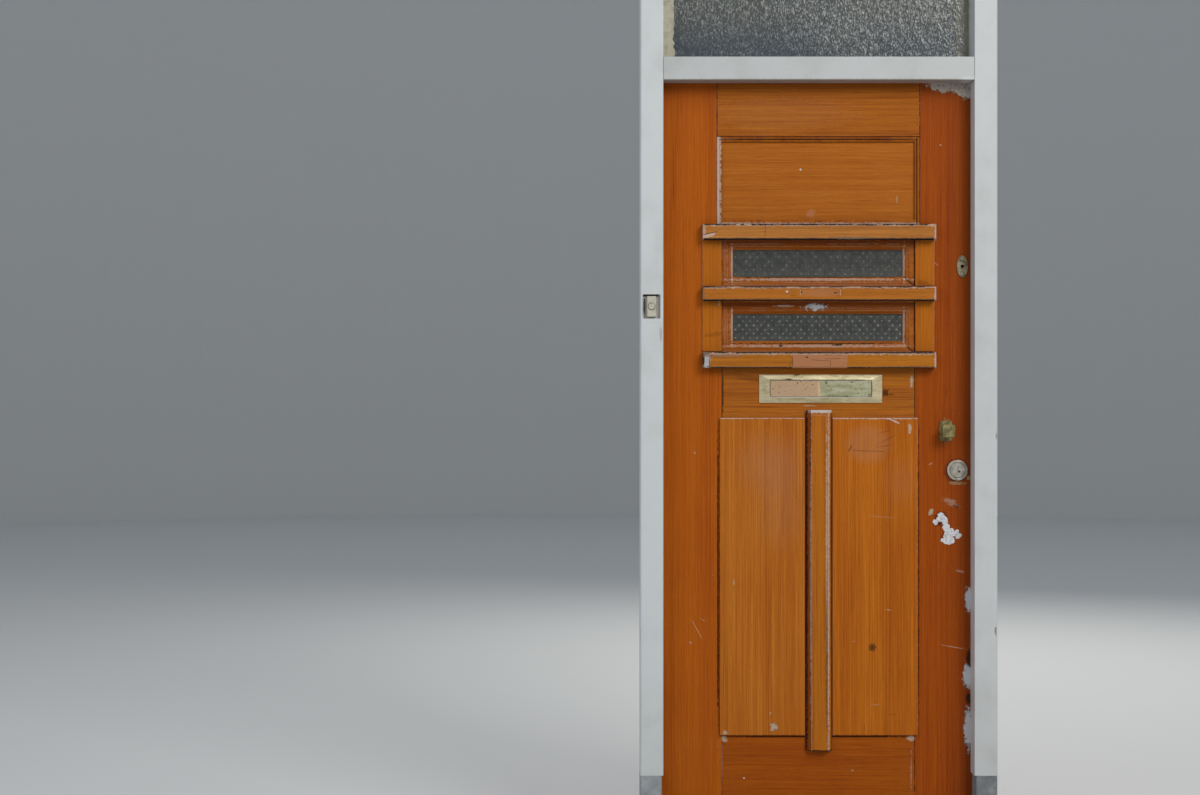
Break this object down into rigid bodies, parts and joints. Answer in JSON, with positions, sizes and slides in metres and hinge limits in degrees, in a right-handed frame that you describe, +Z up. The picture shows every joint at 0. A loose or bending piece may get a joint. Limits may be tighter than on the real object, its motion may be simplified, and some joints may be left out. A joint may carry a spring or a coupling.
{
  "type": "panelled timber front door with frame",
  "caption": "Inward-opening panelled timber front door with ledges, small figured lights, letter plate and night latch, hung in a painted frame with a fanlight and stone feet.",
  "frame": {"origin": "underside of the threshold, middle of the doorway, in the plane of the frame's street face", "axes": "+Z up, +Y from the street into the house, +X along the wall towards the lock side"},
  "size_m": [0.988, 0.167, 2.631],
  "materials": {
    "varnished_wood": "aged orange-brown varnish",
    "frame_paint": "pale grey-white gloss paint",
    "plinth_stone": "sawn grey stone",
    "putty": "cream glazing putty",
    "fanlight_glass": "figured, pebbled",
    "light_glass": "figured, dotted",
    "aged_brass": "worn and tarnished",
    "knob_brass": "dull cast brass",
    "lock_nickel": "dull nickel plate",
    "oval_steel": "weathered",
    "hinge_steel": "plain",
    "lock_paint": "brown lacquer",
    "dowel_iron": "plain",
    "bell_plastic": "aged cream",
    "button_plastic": "aged ivory"
  },
  "bodies": {
    "frame": {"threshold": "plinth_stone", "plinth_left": "plinth_stone", "plinth_right": "plinth_stone", "jamb_left": "frame_paint", "jamb_right": "frame_paint", "transom": "frame_paint", "head": "frame_paint", "jamb_dowels": "dowel_iron", "fanlight_glass": "fanlight_glass", "fanlight_putty": "putty", "fanlight_bead": "frame_paint", "bolt_keeper": "lock_paint", "latch_keeper": "lock_paint", "frame_screws": "hinge_steel", "hinge_jamb_halves": "hinge_steel", "hinge_pins": "hinge_steel", "bell_body": "bell_plastic"},
    "door_leaf": {"light_glass_upper": "light_glass", "light_glass_lower": "light_glass", "hinge_stile": "varnished_wood", "lock_stile": "varnished_wood", "top_rail": "varnished_wood", "upper_light_rail": "varnished_wood", "middle_light_rail": "varnished_wood", "lock_rail": "varnished_wood", "bottom_rail": "varnished_wood", "muntin": "varnished_wood", "upper_panel": "varnished_wood", "upper_moulding": "varnished_wood", "lower_panel_left": "varnished_wood", "lower_panel_right": "varnished_wood", "centre_batten": "varnished_wood", "upper_ledge": "varnished_wood", "middle_ledge": "varnished_wood", "lower_ledge": "varnished_wood", "side_strips": "varnished_wood", "light_bead_upper": "varnished_wood", "light_bead_lower": "varnished_wood", "light_inner_beads": "varnished_wood", "letter_plate": "aged_brass", "pull_knob": "knob_brass", "through_bolts": "knob_brass", "cylinder_rose": "lock_nickel", "cylinder_body": "lock_nickel", "oval_plate": "oval_steel", "hinge_leaf_halves": "hinge_steel", "leaf_screws": "hinge_steel", "latch_spring": "hinge_steel", "flap_spring": "hinge_steel", "flap_pin": "hinge_steel", "latch_back_plate": "hinge_steel", "latch_case": "lock_paint", "upper_bolt_case": "lock_paint"},
    "letter_flap": {"letter_flap": "aged_brass"},
    "turn_knob": {"turn_knob": "knob_brass"},
    "latch_bolt": {"latch_bolt": "oval_steel"},
    "cylinder_plug": {"cylinder_plug": "lock_nickel"},
    "snib": {"snib": "knob_brass"},
    "upper_bolt": {"upper_bolt": "oval_steel"},
    "bell_button": {"bell_button": "button_plastic"}
  },
  "joints": [
    {"name": "leaf_swing", "type": "hinge", "parent": "frame", "child": "door_leaf", "pos_m": [-0.4415, 0.101, 1], "axis": [0, 0, 1], "range_deg": [0, 100]},
    {"name": "flap_swing", "type": "hinge", "parent": "door_leaf", "child": "letter_flap", "pos_m": [0.011, 0.0535, 1.3295], "axis": [1, 0, 0], "range_deg": [0, 70], "stiffness_Nm_per_rad": 0.12, "springref_deg": -20.05},
    {"name": "knob_turn", "type": "hinge", "parent": "door_leaf", "child": "turn_knob", "pos_m": [0.393, 0.12, 1.082], "axis": [0, 1, 0], "range_deg": [0, 50]},
    {"name": "latch_slide", "type": "slide", "parent": "door_leaf", "child": "latch_bolt", "axis": [1, 0, 0], "range_m": [0, 0.014]},
    {"name": "plug_turn", "type": "hinge", "parent": "door_leaf", "child": "cylinder_plug", "pos_m": [0.393, 0.07, 1.082], "axis": [0, 1, 0], "range_deg": [0, 50]},
    {"name": "snib_slide", "type": "slide", "parent": "door_leaf", "child": "snib", "axis": [0, 0, -1], "range_m": [0, 0.005]},
    {"name": "bolt_throw", "type": "slide", "parent": "door_leaf", "child": "upper_bolt", "axis": [1, 0, 0], "range_m": [0, 0.014]},
    {"name": "bell_press", "type": "slide", "parent": "frame", "child": "bell_button", "axis": [0, 1, 0], "range_m": [0, 0.002], "stiffness_N_per_m": 400}
  ],
  "couplings": [
    {"joint": "latch_slide", "follows": "knob_turn", "m_per_rad": 0.016042},
    {"joint": "plug_turn", "follows": "knob_turn", "ratio": 1}
  ]
}
